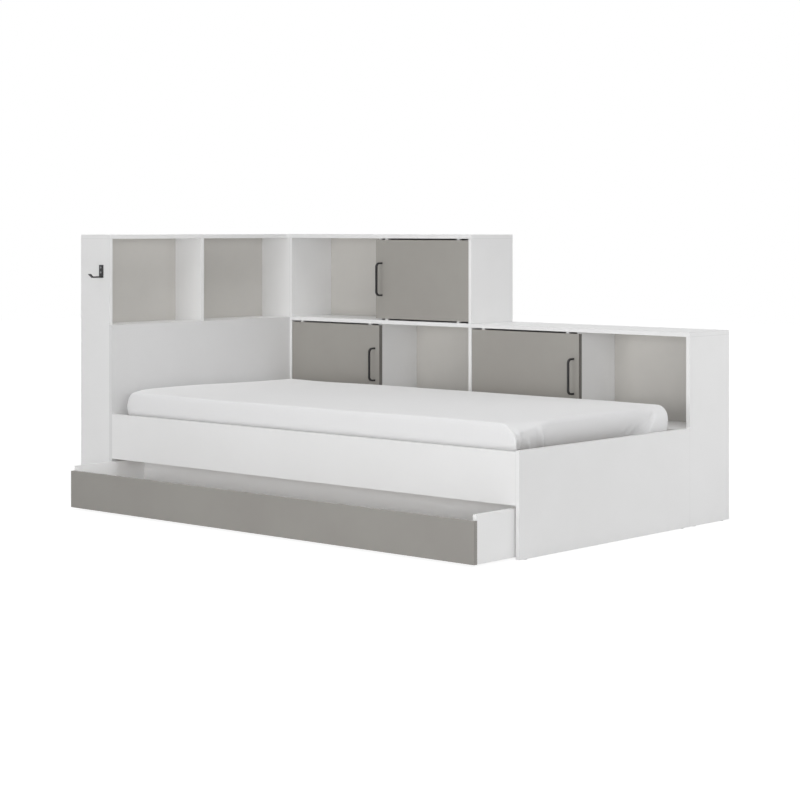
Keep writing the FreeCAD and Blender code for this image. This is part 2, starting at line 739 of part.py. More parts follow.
faults = [thing.Name for thing in doc.Objects if {"Invalid", "Error"} & set(thing.State)]
faults += [piece.Label for piece in nodes if piece.Shape.isNull() or not piece.Shape.isValid()]
if faults:
    raise RuntimeError("failed: " + ", ".join(faults))

os.makedirs("parts", exist_ok=True)
for piece in nodes:
    piece.Shape.exportStep(f"parts/{piece.Label}.step")
    solids = len(piece.Shape.Solids)
    print(f"{piece.Label}: {solids} solid(s), {piece.Shape.Volume / 1000:.1f} cm3")
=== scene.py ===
# %% [markdown]
# Storage bed with a shelf headboard, a long cabinet with sliding doors and a wide drawer on castors.
# The hard pieces arrive finished from the CAD frame, so this lesson gives each of them its surface, and
# models the one soft piece, the mattress in its fitted sheet, as a new mesh.

# %% Load the frame
import json
import math
import bpy
import numpy as np
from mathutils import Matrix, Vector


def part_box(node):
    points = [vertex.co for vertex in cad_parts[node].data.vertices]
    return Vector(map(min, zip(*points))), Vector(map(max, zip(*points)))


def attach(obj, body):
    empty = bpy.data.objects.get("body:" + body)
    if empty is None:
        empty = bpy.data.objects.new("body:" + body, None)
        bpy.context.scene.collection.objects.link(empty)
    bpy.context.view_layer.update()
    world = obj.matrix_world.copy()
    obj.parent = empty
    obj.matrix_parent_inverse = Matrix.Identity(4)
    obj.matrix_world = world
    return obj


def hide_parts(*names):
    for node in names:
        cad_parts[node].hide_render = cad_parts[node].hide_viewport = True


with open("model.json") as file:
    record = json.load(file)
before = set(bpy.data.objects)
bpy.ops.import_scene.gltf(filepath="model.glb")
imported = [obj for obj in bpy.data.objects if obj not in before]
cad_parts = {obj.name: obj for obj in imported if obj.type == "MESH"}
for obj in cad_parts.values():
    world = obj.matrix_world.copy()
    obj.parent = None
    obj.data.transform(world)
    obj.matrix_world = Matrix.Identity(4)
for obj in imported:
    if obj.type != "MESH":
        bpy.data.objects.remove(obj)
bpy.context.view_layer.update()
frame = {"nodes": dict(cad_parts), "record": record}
scene = bpy.context.scene
scene.view_settings.view_transform = "Standard"
slot_of = {entry["node"]: entry["material_slot"] for entry in frame["record"]["subparts"]}

# %% [markdown]
# A product picture of furniture is taken with a long lens held level, so that uprights stay upright.
# The view is then slid down the sensor instead of tilting the camera: that is what the shift does here.

# %% Camera
VIEW_AZIMUTH = math.radians(41.831)
VIEW_PLACE = (5.2506, -5.7238, 1.0926)
SENSOR_WIDTH = 36.0
VIEW_LENS = 90.906
VIEW_DROP = -0.2149

camera_data = bpy.data.cameras.new("product_view")
camera_data.sensor_width = SENSOR_WIDTH
camera_data.lens = VIEW_LENS
camera_data.shift_y = VIEW_DROP
camera = bpy.data.objects.new("product_view", camera_data)
camera.location = VIEW_PLACE
camera.rotation_euler = (math.pi / 2, 0, VIEW_AZIMUTH)
scene.collection.objects.link(camera)
scene.camera = camera
print("camera", VIEW_LENS, "mm from", VIEW_PLACE)

# %% [markdown]
# A finish is a small graph of shader nodes. These helpers keep each graph readable: one adds a node
# and fills its sockets, one starts a node group, and one starts a material with its Principled shader.


# %% Helpers for shader graphs
def add(tree, kind, inputs=None, **settings):
    """New node in a tree. An input is a number or colour to set, or an output socket to link."""
    made = tree.nodes.new(kind)
    for name, setting in settings.items():
        setattr(made, name, setting)
    for name, given in (inputs or {}).items():
        if isinstance(given, bpy.types.NodeSocket):
            tree.links.new(given, made.inputs[name])
        else:
            made.inputs[name].default_value = given
    return made


def math_of(tree, operation, first, second=0.0, **settings):
    """Output of a Math node on two values, each a number or a socket."""
    return add(tree, "ShaderNodeMath", {0: first, 1: second}, operation=operation, **settings).outputs[0]


def noise(tree, place, scale, detail, **more):
    """Output of a noise from 0 to 1: scale sets its changes per metre, and detail its finer layers."""
    inputs = {"Vector": place, "Scale": scale, "Detail": detail, **more}
    return add(tree, "ShaderNodeTexNoise", inputs).outputs["Fac"]


def blend_colour(tree, factor, first, second):
    """Output of a colour mix: the first colour where the factor is 0, the second where it is 1."""
    return add(tree, "ShaderNodeMix", {"Factor": factor, 6: first, 7: second}, data_type="RGBA").outputs[2]


def ramp(tree, given, low, high, to_low, to_high):
    """Smooth step of a value from one span to another."""
    return add(tree, "ShaderNodeMapRange", {"Value": given, "From Min": low, "From Max": high,
                                            "To Min": to_low, "To Max": to_high},
               interpolation_type="SMOOTHSTEP").outputs["Result"]


def new_group(name, inputs, outputs):
    """Empty shader group with the named sockets, as (tree, its inputs, its output node)."""
    tree = bpy.data.node_groups.new(name, "ShaderNodeTree")
    for direction, sockets in (("INPUT", inputs), ("OUTPUT", outputs)):
        for socket, kind in sockets.items():
            tree.interface.new_socket(socket, in_out=direction, socket_type="NodeSocket" + kind)
    return tree, tree.nodes.new("NodeGroupInput").outputs, tree.nodes.new("NodeGroupOutput")


def use(tree, group, **inputs):
    """Outputs of a group placed in a material, with the inputs that are given filled in."""
    made = add(tree, "ShaderNodeGroup", node_tree=group)
    for name, given in inputs.items():
        made.inputs[name].default_value = given
    return made.outputs


def finish(name, **constants):
    """New material with a Principled shader; constants go straight to the shader's own sockets."""
    material = bpy.data.materials.new(name)
    material.use_nodes = True
    shader = material.node_tree.nodes["Principled BSDF"]
    for socket, given in constants.items():
        shader.inputs[socket.replace("_", " ")].default_value = given
    return material, material.node_tree, shader


def bump(tree, shader, height, depth, strength=1.0):
    """Feed a height to the shader's normal; depth is the relief in metres."""
    made = add(tree, "ShaderNodeBump", {"Height": height, "Distance": depth, "Strength": strength})
    tree.links.new(made.outputs["Normal"], shader.inputs["Normal"])


def dress(nodes, material):
    """Give CAD nodes a material in place of the frame's plain one."""
    for name in nodes:
        frame["nodes"][name].data.materials.clear()
        frame["nodes"][name].data.materials.append(material)


def nodes_in(slot):
    """CAD nodes that the record puts in a material slot."""
    return [name for name, given in slot_of.items() if given == slot]


print("helpers ready")

# %% [markdown]
# The boards are chipboard faced with melamine paper. Pressing leaves a fine pearl of shallow dimples,
# the print is never perfectly even, and every arris is eased by the edge band, so two boards that
# meet flush still show a hairline. Each effect is a group, so the white, the grey and the back boards
# share it. A point lies on an arris when two of its three depths below the board's box are small, so the
# second smallest depth draws the line.

# %% Groups for pressed boards
NOISE_SPAN = (0.3, 0.7)
DIMPLE_SCALE = 620.0
CLOUD_SCALE = 2.6
ARRIS_WIDTH = 0.0014

pearl, _, pearl_out = new_group("pressed_pearl", {}, {"Height": "Float", "Cloud": "Float"})
place = add(pearl, "ShaderNodeTexCoord").outputs["Object"]
cloud = noise(pearl, place, CLOUD_SCALE, 4.0, Roughness=0.6)
pearl.links.new(noise(pearl, place, DIMPLE_SCALE, 2.0), pearl_out.inputs["Height"])
pearl.links.new(ramp(pearl, cloud, *NOISE_SPAN, 0.0, 1.0), pearl_out.inputs["Cloud"])

arris, arris_in, arris_out = new_group(
    "board_arris", {"Middle": "Vector", "Half": "Vector"}, {"Arris": "Float"})
place = add(arris, "ShaderNodeTexCoord").outputs["Object"]
offset = add(arris, "ShaderNodeVectorMath", {0: place, 1: arris_in["Middle"]},
             operation="SUBTRACT").outputs[0]
reach = add(arris, "ShaderNodeVectorMath", {0: offset}, operation="ABSOLUTE").outputs[0]
depth = add(arris, "ShaderNodeVectorMath", {0: arris_in["Half"], 1: reach},
            operation="SUBTRACT").outputs[0]
x, y, z = add(arris, "ShaderNodeSeparateXYZ", {"Vector": depth}).outputs
nearer = math_of(arris, "MINIMUM", x, y)
farther = math_of(arris, "MAXIMUM", x, y)
second = math_of(arris, "MAXIMUM", nearer, math_of(arris, "MINIMUM", farther, z))
arris.links.new(ramp(arris, second, 0.0, ARRIS_WIDTH, 1.0, 0.0), arris_out.inputs["Arris"])
print("groups:", pearl.name, arris.name)

# %% [markdown]
# One function then finishes any board: it mixes two close tones by the cloud, darkens the arris, and
# turns the pearl into relief. Only the tones differ between the white carcase, the taupe doors and
# drawer front, and the thin printed back panels. Some boards have tones that paint light and shade: the
# headboard's facing is a touch greyer and the drawer's front a touch darker than their kind, as painted
# shade, and the drawer's box a touch whiter, as painted light. The doors' upright ends are darker.

# %% Board finishes
BOARD_TONES = {
    "white_board": ((0.905, 0.905, 0.905, 1), (0.885, 0.885, 0.883, 1), (0.45, 0.45, 0.44, 1)),
    "grey_board": ((0.365, 0.352, 0.326, 1), (0.346, 0.331, 0.307, 1), (0.18, 0.17, 0.16, 1)),
    "back_board": ((0.676, 0.659, 0.625, 1), (0.642, 0.625, 0.595, 1), (0.45, 0.435, 0.415, 1)),
}
DRAWER_BOX = ("drawer_left_side", "drawer_right_side", "drawer_back", "drawer_bottom")
# Whiter than the white boards: painted light inside the drawer, which lies in the rail's shade.
DRAWER_PAINTED_LIGHT_WHITE = ((0.95, 0.95, 0.95, 1), (0.93, 0.93, 0.928, 1), (0.47, 0.47, 0.46, 1))
# Painted light and shade: the drawer front and the headboard's facing are darker as painted shade, the
# drawer's box whiter as painted light.
PAINTED_LIGHT_AND_SHADE_TONES = {
    "drawer_front": ((0.312, 0.301, 0.279, 1), (0.295, 0.282, 0.263, 1), (0.17, 0.16, 0.15, 1)),
    "headboard_facing": ((0.795, 0.795, 0.797, 1), (0.774, 0.774, 0.776, 1), (0.45, 0.45, 0.44, 1)),
    **dict.fromkeys(DRAWER_BOX, DRAWER_PAINTED_LIGHT_WHITE),
}
ARRIS_STRENGTH = 0.22
BOARD_ROUGHNESS = (0.40, 0.50)
PEARL_DEPTH = 0.00003
# The doors' upright ends get a darker tone.
DOORS_WITH_DARK_ENDS = ("upper_door_panel", "left_door_panel", "right_door_panel")
DARK_DOOR_END_TONE = (0.175, 0.167, 0.156, 1)
END_FACING = 0.9


def board_finish(slot, name):
    """Melamine board whose arrises follow its own outline."""
    pale, deep, line = PAINTED_LIGHT_AND_SHADE_TONES.get(name, BOARD_TONES[slot])
    low, high = (np.array(corner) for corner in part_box(name))
    material, tree, shader = finish(slot + "_" + name, IOR=1.47)
    surface = use(tree, pearl)
    edge = use(tree, arris, Middle=(low + high) / 2, Half=(high - low) / 2)["Arris"]
    face = blend_colour(tree, surface["Cloud"], pale, deep)
    # Faces that point along the bed, the doors' upright ends, are made darker.
    if name in DOORS_WITH_DARK_ENDS:
        normal = add(tree, "ShaderNodeTexCoord").outputs["Normal"]
        along = add(tree, "ShaderNodeSeparateXYZ", {"Vector": normal}).outputs["X"]
        end = math_of(tree, "GREATER_THAN", math_of(tree, "ABSOLUTE", along), END_FACING)
        face = blend_colour(tree, end, face, DARK_DOOR_END_TONE)
    lined = blend_colour(tree, math_of(tree, "MULTIPLY", edge, ARRIS_STRENGTH), face, line)
    tree.links.new(lined, shader.inputs["Base Color"])
    tree.links.new(ramp(tree, surface["Cloud"], 0.0, 1.0, *BOARD_ROUGHNESS), shader.inputs["Roughness"])
    bump(tree, shader, surface["Height"], PEARL_DEPTH)
    dress([name], material)


for board_slot in BOARD_TONES:
    for board in nodes_in(board_slot):
        board_finish(board_slot, board)
    print(board_slot, len(nodes_in(board_slot)), "boards")

# %% [markdown]
# The bow handles and the coat hook are steel with a baked powder coat: almost black, with the soft
# orange peel that the powder keeps when it melts. Screws and brackets are plated, and the plating sets in
# small crystals that differ a little in tone and gloss.

# %% Powder-coated and plated metal
POWDER_TONES = ((0.012, 0.012, 0.013, 1), (0.026, 0.026, 0.027, 1))
POWDER_ROUGHNESS = (0.38, 0.52)
RUB_SCALE = 40.0
PEEL_SCALE = 900.0
PEEL_DEPTH = 0.00005
SPANGLE_SCALE = 260.0
PLATED_ROUGHNESS = (0.28, 0.42)


def powder_coat(name, slot):
    """Black baked powder: even colour, fine orange peel in the relief."""
    material, tree, shader = finish(name, IOR=1.5)
    place = add(tree, "ShaderNodeTexCoord").outputs["Object"]
    rubbed = noise(tree, place, RUB_SCALE, 3.0)
    tree.links.new(blend_colour(tree, rubbed, *POWDER_TONES), shader.inputs["Base Color"])
    tree.links.new(ramp(tree, rubbed, *NOISE_SPAN, *POWDER_ROUGHNESS), shader.inputs["Roughness"])
    bump(tree, shader, noise(tree, place, PEEL_SCALE, 2.0), PEEL_DEPTH)
    dress(nodes_in(slot), material)


def plated(name, slot, pale, deep):
    """Plated steel: patches of crystals that differ a little in tone and gloss."""
    material, tree, shader = finish(name, Metallic=1.0)
    place = add(tree, "ShaderNodeTexCoord").outputs["Object"]
    spangle = add(tree, "ShaderNodeTexVoronoi", {"Vector": place, "Scale": SPANGLE_SCALE}).outputs["Color"]
    patch = add(tree, "ShaderNodeSeparateColor", {"Color": spangle}).outputs["Red"]
    tree.links.new(blend_colour(tree, patch, pale, deep), shader.inputs["Base Color"])
    tree.links.new(ramp(tree, patch, 0.0, 1.0, *PLATED_ROUGHNESS), shader.inputs["Roughness"])
    dress(nodes_in(slot), material)


powder_coat("black_powder_coat", "black_metal")
plated("blackened_screws", "black_screw", (0.30, 0.30, 0.31, 1), (0.22, 0.22, 0.23, 1))
plated("bright_zinc_screws", "zinc_screw", (0.66, 0.66, 0.67, 1), (0.54, 0.54, 0.56, 1))
plated("galvanised_sheet", "zinc_sheet", (0.62, 0.63, 0.64, 1), (0.50, 0.51, 0.53, 1))
print("metal finishes on", len(nodes_in("black_metal")), "handles and hook")

# %% [markdown]
# Slats and bearers are planed pine. A board is a slice through nested growth rings, so rings measured
# from an axis that runs along the board would give straight grain on its faces. Noise drawn out along
# the board and cut into bands gives that grain, slightly wandering, with a darker end to each ring.

# %% Planed pine
GRAIN_STRETCH = 0.06
RING_SCALE = 28.0
RING_WANDER = 1.2
RING_BANDS = 9.0
PORE_SCALE = 420.0
EARLY_WOOD = ((0.66, 0.50, 0.32, 1), (0.58, 0.42, 0.25, 1))
LATE_WOOD = (0.44, 0.28, 0.14, 1)
LATE_START = 0.55
LATE_STRENGTH = 0.6
PINE_ROUGHNESS = (0.52, 0.68)
PORE_DEPTH = 0.0001


def planed_pine(name, node, along):
    """Bands of noise stretched along the board: early wood that fades into late wood at each band's end."""
    material, tree, shader = finish(name)
    place = add(tree, "ShaderNodeTexCoord").outputs["Object"]
    stretch = [1.0, 1.0, 1.0]
    stretch[along] = GRAIN_STRETCH
    grain = add(tree, "ShaderNodeMapping", {"Vector": place, "Scale": stretch}).outputs[0]
    rings = noise(tree, grain, RING_SCALE, 3.0, Distortion=RING_WANDER)
    bands = math_of(tree, "FRACT", math_of(tree, "MULTIPLY", rings, RING_BANDS))
    pores = noise(tree, grain, PORE_SCALE, 2.0)
    early = blend_colour(tree, pores, *EARLY_WOOD)
    wood = blend_colour(tree, ramp(tree, bands, LATE_START, 1.0, 0.0, LATE_STRENGTH), early, LATE_WOOD)
    tree.links.new(wood, shader.inputs["Base Color"])
    tree.links.new(ramp(tree, pores, *NOISE_SPAN, *PINE_ROUGHNESS), shader.inputs["Roughness"])
    bump(tree, shader, pores, PORE_DEPTH)
    dress([node], material)


planed_pine("pine_slats", "slats", 1)
for bearer in ("front_slat_bearer", "rear_slat_bearer"):
    planed_pine("pine_" + bearer, bearer, 0)
print("pine on", nodes_in("bare_wood"))

# %% [markdown]
# Door guides, glides and castor wheels are moulded plastic. A mould is spark-eroded or blasted, which
# leaves a very fine matt grain on every face.

# %% Moulded plastic
PLASTIC_ROUGHNESS = (0.42, 0.55)
DRIFT_SCALE = 60.0
MOULD_SCALE = 1400.0
MOULD_DEPTH = 0.00004


def moulded(name, slot, pale, deep):
    """Moulded plastic: fine matt grain and a faint drift of colour."""
    material, tree, shader = finish(name, IOR=1.46)
    place = add(tree, "ShaderNodeTexCoord").outputs["Object"]
    drift = noise(tree, place, DRIFT_SCALE, 2.0)
    tree.links.new(blend_colour(tree, drift, pale, deep), shader.inputs["Base Color"])
    tree.links.new(ramp(tree, drift, *NOISE_SPAN, *PLASTIC_ROUGHNESS), shader.inputs["Roughness"])
    bump(tree, shader, noise(tree, place, MOULD_SCALE, 1.0), MOULD_DEPTH)
    dress(nodes_in(slot), material)


moulded("white_moulding", "white_plastic", (0.76, 0.76, 0.75, 1), (0.72, 0.72, 0.71, 1))
moulded("castor_moulding", "wheel_plastic", (0.045, 0.045, 0.047, 1), (0.06, 0.06, 0.062, 1))
print("plastic on", nodes_in("white_plastic") + nodes_in("wheel_plastic"))

# %% [markdown]
# The mattress wears a white fitted sheet over a boxed cushion. One long strip climbs the head end, runs
# over the top and drops down the foot end; a flat panel closes the front and another the rear. The turn
# is a quarter of an ellipse, given by how far it reaches out and drops down: round at the head, tight in
# the middle of the foot end, and rounder again where the corners pull the foot end down. This cell
# draws the strip's outline, seen from the side: where it runs and which way its surface faces.

# %% Outline of the strip
QUARTER = math.pi / 2
CROWN = 0.006
HEM_RISE = 0.004
HEAD_GAP = 0.006
FOOT_PRESS = 0.001
HEAD_TURN = (0.075, 0.075)
FRONT_TURN = (0.085, 0.068)
REAR_TURN = (0.052, 0.055)
TIGHT_TURN = (0.013, 0.013)
HEAD_ROWS = 45
HEAD_TURNING = 30
TOP_ROWS = 150
FOOT_ROWS = 54
FOOT_TURNING = 18

low, high = (np.array(corner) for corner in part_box("mattress"))
TOP_LEVEL = high[2] - CROWN
UNDERSIDE = low[2]
HEAD_END = low[0] + HEAD_GAP
FOOT_END = high[0] + FOOT_PRESS


def smooth(value):
    """Smooth step: 0 below 0, 1 above 1, and 3t^2 - 2t^3 between."""
    t = np.clip(value, 0, 1)
    return t * t * (3 - 2 * t)


def hump(offset, width):
    """Bell curve of height 1: e to the minus square of the offset over the width."""
    return np.exp(-np.square(offset / width))


def end_outline(reach, drop, rows, turning):
    """Strip over one end, as rows of (outward, level, tilt) from the flat top down.

    The turning rows follow a quarter of an ellipse, out by the reach and down by the drop; the rest
    go straight down to the hem. The tilt is the ellipse's normal, from 0 facing up to a right angle."""
    angle = np.linspace(0, QUARTER, turning + 1)
    fall = np.linspace(TOP_LEVEL - drop, UNDERSIDE + HEM_RISE, rows - turning + 1)[1:]
    outward = np.concatenate([reach * np.sin(angle), np.full(len(fall), reach)])
    level = np.concatenate([TOP_LEVEL - drop * (1 - np.cos(angle)), fall])
    turned = np.arctan2(np.sin(angle) / reach, np.cos(angle) / drop)
    tilt = np.concatenate([turned, np.full(len(fall), QUARTER)])
    return outward, level, tilt


def strip_outline(foot_turn):
    """Whole strip from the side, as one column each of x, level and tilt: head end, flat top, foot end."""
    head = end_outline(*HEAD_TURN, HEAD_ROWS, HEAD_TURNING)
    foot = end_outline(*foot_turn, FOOT_ROWS, FOOT_TURNING)
    head_out, head_level, head_tilt = (values[:0:-1] for values in head)
    foot_out, foot_level, foot_tilt = (values[1:] for values in foot)
    flat_x = np.linspace(HEAD_END + HEAD_TURN[0], FOOT_END - foot_turn[0], TOP_ROWS + 1)
    x = np.concatenate([flat_x[0] - head_out, flat_x, flat_x[-1] + foot_out])
    level = np.concatenate([head_level, np.full(TOP_ROWS + 1, TOP_LEVEL), foot_level])
    tilt = np.concatenate([-head_tilt, np.zeros(TOP_ROWS + 1), foot_tilt])
    return x[:, None], level[:, None], tilt[:, None]


front_strip = strip_outline(FRONT_TURN)
rear_strip = strip_outline(REAR_TURN)
tight_strip = strip_outline(TIGHT_TURN)
past = np.concatenate([np.arange(HEAD_ROWS, 0, -1) / HEAD_ROWS, np.zeros(TOP_ROWS + 1),
                       np.arange(1, FOOT_ROWS + 1) / FOOT_ROWS])[:, None]
print("strip of", len(past), "rows, top at", TOP_LEVEL.round(4), "m")

# %% [markdown]
# The grid's columns give the section across the bed: up the front panel, over an edge, across the top,
# over the rear edge and down the rear panel. Boxed mattresses have a tight piped edge, so the front edge
# turns on a small radius; the radius grows round the head's corner and along the rear, where the cloth is
# pulled less square. Across the foot end the three outlines blend: the front's near the front edge, the
# rear's near the rear edge, the tight one between. The columns crowd together near both edges, because
# the folds lie there.

# %% Boxed cushion
PANEL_COLUMNS = 21
EDGE_COLUMNS = 18
WIDTH_COLUMNS = 150
EDGE_CROWDING = 0.7
FRONT_PULL = 0.2
REAR_PULL = (0.78, 0.15)
FRONT_RADIUS = 0.014
HEAD_RADIUS = 0.045
REAR_RADIUS = 0.030
REAR_END_RADIUS = 0.040

rising = np.arange(PANEL_COLUMNS) / PANEL_COLUMNS
turn = np.linspace(QUARTER, 0, EDGE_COLUMNS + 1)[:-1]
upright = np.full(PANEL_COLUMNS, QUARTER)
bend = np.concatenate([upright, turn, np.zeros(WIDTH_COLUMNS + 1), turn[::-1], upright])
climb = np.concatenate([rising, np.ones(2 * EDGE_COLUMNS + WIDTH_COLUMNS + 1), rising[::-1]])
beside = np.ones(PANEL_COLUMNS + EDGE_COLUMNS)
side = np.concatenate([-beside, np.zeros(WIDTH_COLUMNS + 1), beside])
even = np.linspace(0, 1, WIDTH_COLUMNS + 1)
crowded = even - EDGE_CROWDING * np.sin(2 * math.pi * even) / (2 * math.pi)
across = np.concatenate([0 * beside, crowded, beside])
front_pull = 1 - smooth(across / FRONT_PULL)
rear_pull = smooth((across - REAR_PULL[0]) / REAR_PULL[1])
strip_x, strip_z, tilt = (front * front_pull + rear * rear_pull + tight * (1 - front_pull - rear_pull)
                          for front, rear, tight in zip(front_strip, rear_strip, tight_strip))


def boxed_cushion():
    """Points and outward normals of the cushion, as grids of rows along the strip by columns across it.

    On an edge of radius R at bend a, the strip's point moves in along the strip's normal by R (1 - cos a)
    and sideways by R sin a. A panel's point lies on the straight line from the edge's foot down to the
    underside, where the feet of the end rows are spread evenly below the turn."""
    front = FRONT_RADIUS + (HEAD_RADIUS - FRONT_RADIUS) * smooth(-tilt / QUARTER)
    rear = REAR_RADIUS + (REAR_END_RADIUS - REAR_RADIUS) * smooth(np.abs(tilt) / QUARTER)
    radius = np.where(side < 0, front, rear)
    y = (low[1] + front) * (1 - across) + (high[1] - rear) * across + side * radius * np.sin(bend)
    drawn = radius * (1 - np.cos(bend))
    x = strip_x - drawn * np.sin(tilt)
    z = strip_z - drawn * np.cos(tilt)
    head_shoulder, foot_shoulder = x[HEAD_ROWS], x[HEAD_ROWS + TOP_ROWS]
    head_foot = head_shoulder + (x[0] - head_shoulder) * past
    end_foot = foot_shoulder + (x[-1] - foot_shoulder) * past
    foot_x = np.where(tilt < 0, head_foot, np.where(tilt > 0, end_foot, x))
    points = np.stack([foot_x + (x - foot_x) * climb, y, UNDERSIDE + (z - UNDERSIDE) * climb], axis=-1)
    normals = np.stack([np.sin(tilt) * np.cos(bend), side * np.sin(bend) + 0 * tilt,
                        np.cos(tilt) * np.cos(bend)], axis=-1)
    return points, normals


cushion, facing = boxed_cushion()
print("cushion grid", cushion.shape[:2])

# %% [markdown]
# Cloth over padding is not a drawing-board shape: the filling presses it out between the places where it
# is held. So every third row and column becomes a draft that is blown up a little by a cloth simulation,
# pinned at the hem and lightly held elsewhere. How far each point moved, limited to a few millimetres, is
# then spread over the fine grid with a smooth spline.

# %% Fill the sheet with a cloth simulation
DRAFT_STEP = 3
FILL_PRESSURE = 4.0
FILL_QUALITY = 5
FILL_FRAMES = 20
FILL_LIMIT = 0.005
HOLD_LEVELS = 8
SIDE_HOLD = 0.25
EXTRA_TOP_HOLD = 0.25


def grid_mesh(name, points):
    """Closed mesh of a grid: its cells as quads, facing out, and one face over the border underneath."""
    rows, columns = points.shape[:2]
    index = np.arange(rows * columns).reshape(rows, columns)
    cells = np.stack([index[:-1, :-1], index[1:, :-1], index[1:, 1:], index[:-1, 1:]], axis=-1)
    border = np.concatenate([index[0, :-1], index[:-1, -1], index[-1, :0:-1], index[:0:-1, 0]])
    faces = cells.reshape(-1, 4).tolist() + [border.tolist()]
    mesh = bpy.data.meshes.new(name)
    mesh.from_pydata(points.reshape(-1, 3).tolist(), [], faces)
    mesh.polygons.foreach_set("use_smooth", np.ones(len(mesh.polygons), bool))
    return mesh


def spread(count):
    """Weights that carry values from every third row to all rows: the cubic B-spline of their distance."""
    offset = np.abs(np.arange(count)[:, None] / DRAFT_STEP - np.arange((count - 1) // DRAFT_STEP + 1))
    near = 2 / 3 - offset ** 2 + offset ** 3 / 2
    weights = np.where(offset < 1, near, np.clip(2 - offset, 0, None) ** 3 / 6)
    return weights / weights.sum(axis=1, keepdims=True)


def filled(points, hold):
    """Way that each point of the grid moves when the cloth is blown up for twenty frames.

    The hold runs from 0, free, to 1, pinned. A way of length w is scaled by limit / (limit + w), so that
    it nears the limit but never passes it."""
    draft = points[::DRAFT_STEP, ::DRAFT_STEP]
    sheet = bpy.data.objects.new("sheet_draft", grid_mesh("sheet_draft", draft))
    scene.collection.objects.link(sheet)
    pins = sheet.vertex_groups.new(name="held")
    level_of = np.rint(hold[::DRAFT_STEP, ::DRAFT_STEP].ravel() * HOLD_LEVELS).astype(int)
    for step in range(HOLD_LEVELS + 1):
        pins.add(np.flatnonzero(level_of == step).tolist(), step / HOLD_LEVELS, "REPLACE")
    cloth = sheet.modifiers.new("filling", "CLOTH")
    cloth.settings.quality = FILL_QUALITY
    cloth.settings.use_pressure = True
    cloth.settings.uniform_pressure_force = FILL_PRESSURE
    cloth.settings.vertex_group_mass = pins.name
    cloth.settings.effector_weights.gravity = 0
    cloth.collision_settings.use_collision = False
    cloth.point_cache.frame_end = FILL_FRAMES
    for moment in range(1, FILL_FRAMES + 1):
        scene.frame_set(moment)
    blown = np.empty(draft.size, np.float32)
    sheet.evaluated_get(bpy.context.evaluated_depsgraph_get()).data.vertices.foreach_get("co", blown)
    way = blown.reshape(draft.shape) - draft
    length = np.linalg.norm(way, axis=-1, keepdims=True)
    moved = 1000 * length
    print("cloth moved", moved.mean().round(2), "mm on average,", moved.max().round(2), "mm at most")
    way *= FILL_LIMIT / (FILL_LIMIT + length)
    draft_mesh = sheet.data
    bpy.data.objects.remove(sheet)
    bpy.data.meshes.remove(draft_mesh)
    scene.frame_set(1)
    return np.einsum("ia,abk,jb->ijk", spread(points.shape[0]), way, spread(points.shape[1]))


hem = np.maximum(climb == 0, past == 1)
held = np.where(hem, 1.0, SIDE_HOLD + EXTRA_TOP_HOLD * np.cos(tilt) * np.cos(bend))
cushion = cushion + filled(cushion, held)
print("sheet after filling", cushion.min(axis=(0, 1)).round(4), cushion.max(axis=(0, 1)).round(4))

# %% [markdown]
# Then come the things that the sheet shows in its own right. The top has shallow waves and swells a little
# towards the rear and towards the head. Piping is sewn in under the front edge, and below the rail the
# panels are drawn in. Each is a sine, a bell curve or a smooth step of where a point lies.

# %% Waves, piping and tucked panels
REAR_SWELL = (0.006, 0.4)
HEAD_SWELL = 0.009
HEAD_SWELL_START = (-0.60, 0.25)
HEAD_SWELL_EDGE = 0.07
HEAD_SWELL_FADE = (-0.42, 0.45, 0.8)
TOP_WAVES = (
    (3.8, 2.1, 0.4, 0.0011),
    (-2.2, 6.9, 1.7, 0.0010),
    (6.6, 8.7, 0.2, 0.0007),
    (10.4, -9.3, 2.6, 0.0004),
)
PIPING = (math.radians(48), 0.0055, 0.0020)
TUCK = (0.384, 0.042, 0.012)


def waved_levels(x, y, z):
    """Levels after the swells and waves, which grow with the square of the height share above the hem."""
    from_front = y - low[1]
    rear_height, rear_reach = REAR_SWELL
    head_start, head_reach = HEAD_SWELL_START
    fade_start, fade_reach, fade_share = HEAD_SWELL_FADE
    head = smooth((head_start - x) / head_reach) * smooth(from_front / HEAD_SWELL_EDGE)
    rise = rear_height * smooth(from_front / rear_reach)
    rise = rise + HEAD_SWELL * head * (1 - fade_share * smooth((y - fade_start) / fade_reach))
    for per_x, per_y, phase, swell in TOP_WAVES:
        rise = rise + swell * np.sin(per_x * x + per_y * y + phase)
    share = (z - UNDERSIDE) / (TOP_LEVEL - UNDERSIDE)
    return z + rise * share ** 2


def tucked(y, z):
    """Places across the bed after the panels are drawn in, by a smooth step below the tuck's level."""
    tuck_level, tuck_span, tuck_depth = TUCK
    return y - side * np.sin(bend) * tuck_depth * smooth((tuck_level - z) / tuck_span)


def piping_bead():
    """Height of the piping: a bell curve across the front edge's bend that fades where the strip turns."""
    piping_bend, width, height = PIPING
    bead = height * hump((bend - piping_bend) * FRONT_RADIUS, width) * front_edge
    return bead * (1 - smooth(np.abs(tilt)))


front_edge = (side < 0) * (climb == 1)
x, y, z = np.moveaxis(cushion, -1, 0)
z = waved_levels(x, y, z)
y = tucked(y, z)
bead = piping_bead()
print("waves lift the top to", z.max().round(4), "m; piping", bead.max().round(4), "m high")

# %% [markdown]
# The foot end shows the marks of pulling the sheet's corners round. Its cloth leans in, from beside the
# front corner to a slanting crease before the rear corner, with folds between that stand or slant. The
# front corner itself is pressed flat, and its edge has a notch where the cloth is folded under.

